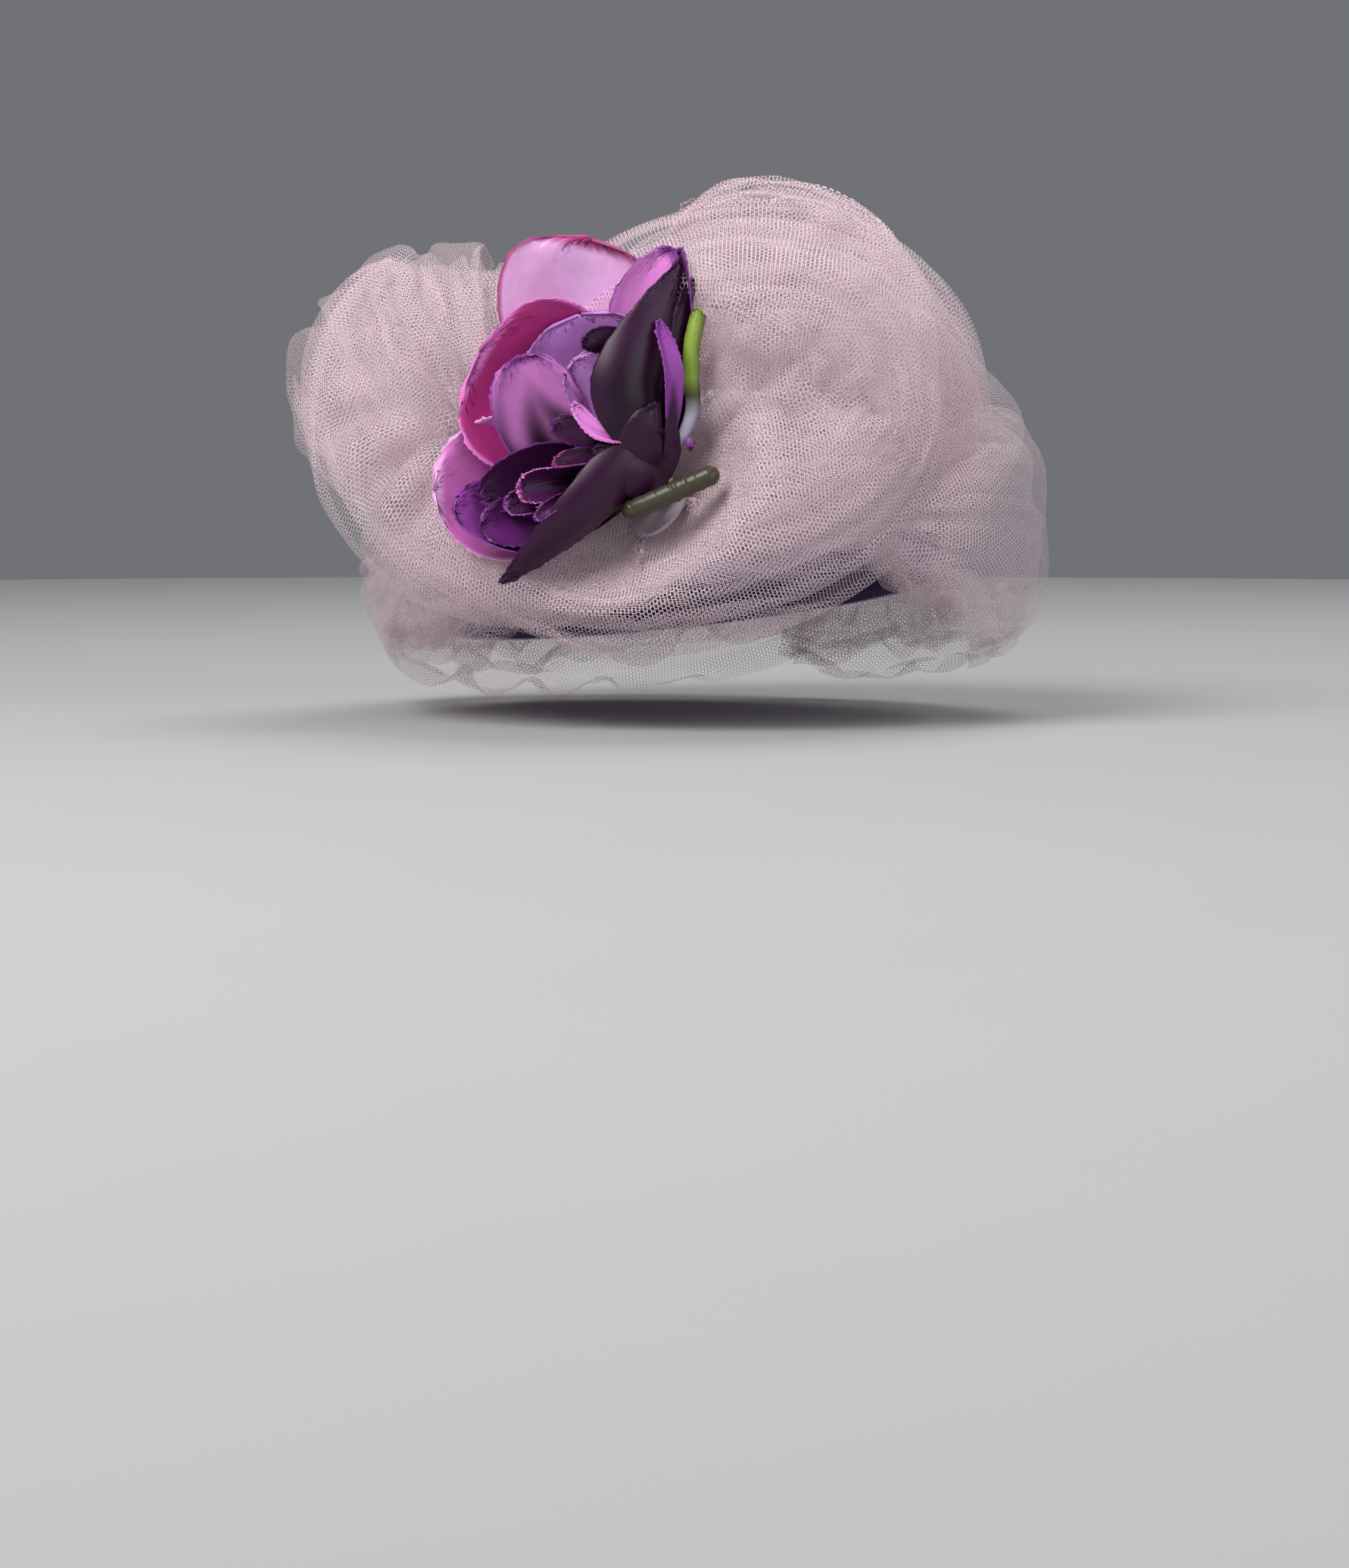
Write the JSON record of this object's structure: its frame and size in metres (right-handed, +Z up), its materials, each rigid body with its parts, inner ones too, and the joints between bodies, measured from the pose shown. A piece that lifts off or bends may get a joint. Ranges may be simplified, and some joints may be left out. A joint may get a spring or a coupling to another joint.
{
  "type": "fascinator headpiece",
  "caption": "Gathered net headpiece on a fabric-covered crown cap, with a large satin rose at one side and hair combs inside.",
  "frame": {"origin": "centre of the head opening, in the plane of the rim", "axes": "+Z up, the wearer looks along -Y, +X is the wearer's left"},
  "size_m": [0.2453, 0.2463, 0.1706],
  "materials": {
    "net": "matt open net, pale pink-lilac",
    "cap_satin": "violet satin",
    "lining": "plain lilac taffeta",
    "buckram": "stiff open weave",
    "grosgrain": "ribbed ribbon",
    "wire": "plain drawn wire",
    "comb_plastic": "dark polished plastic",
    "thread": "twisted polyester thread",
    "petal_satin": "dyed satin, pink to deep purple",
    "wadding": "wound cotton",
    "leaf_satin": "green satin, lilac at one end",
    "felt": "pressed felt",
    "stem_tape": "wound waxed paper tape"
  },
  "bodies": {
    "hat": {"back_comb_stitches": "thread", "back_fall": "net", "back_pouf": "net", "bud_core": "wadding", "bud_petal_1": "petal_satin", "bud_petal_2": "petal_satin", "bud_petal_3": "petal_satin", "calyx": "leaf_satin", "cap_cover": "cap_satin", "cap_foundation": "buckram", "cap_lining": "lining", "cap_veil": "net", "flower_backing": "felt", "front_comb_stitches": "thread", "front_pouf": "net", "front_roll": "net", "inner_petal_1": "petal_satin", "inner_petal_2": "petal_satin", "inner_petal_3": "petal_satin", "inner_petal_4": "petal_satin", "left_fall": "net", "left_pouf": "net", "middle_petal_1": "petal_satin", "middle_petal_2": "petal_satin", "middle_petal_3": "petal_satin", "middle_petal_4": "petal_satin", "middle_petal_5": "petal_satin", "outer_petal_1": "petal_satin", "outer_petal_2": "petal_satin", "outer_petal_3": "petal_satin", "outer_petal_4": "petal_satin", "outer_petal_5": "petal_satin", "right_pouf": "net", "rim_binding": "cap_satin", "rim_wire": "wire", "sepal": "leaf_satin", "stem_wire": "wire", "stem_wrap": "stem_tape", "sweatband": "grosgrain"},
    "front_comb": {"front_comb": "comb_plastic"},
    "back_comb": {"back_comb": "comb_plastic"}
  },
  "joints": [
    {"name": "front_comb_swing", "type": "hinge", "parent": "hat", "child": "front_comb", "pos_m": [0, -0.0785, 0.02056], "axis": [-1, 0, 0], "range_deg": [0, 60]},
    {"name": "back_comb_swing", "type": "hinge", "parent": "hat", "child": "back_comb", "pos_m": [0, 0.0785, -0.00456], "axis": [1, 0, 0], "range_deg": [0, 60]}
  ]
}
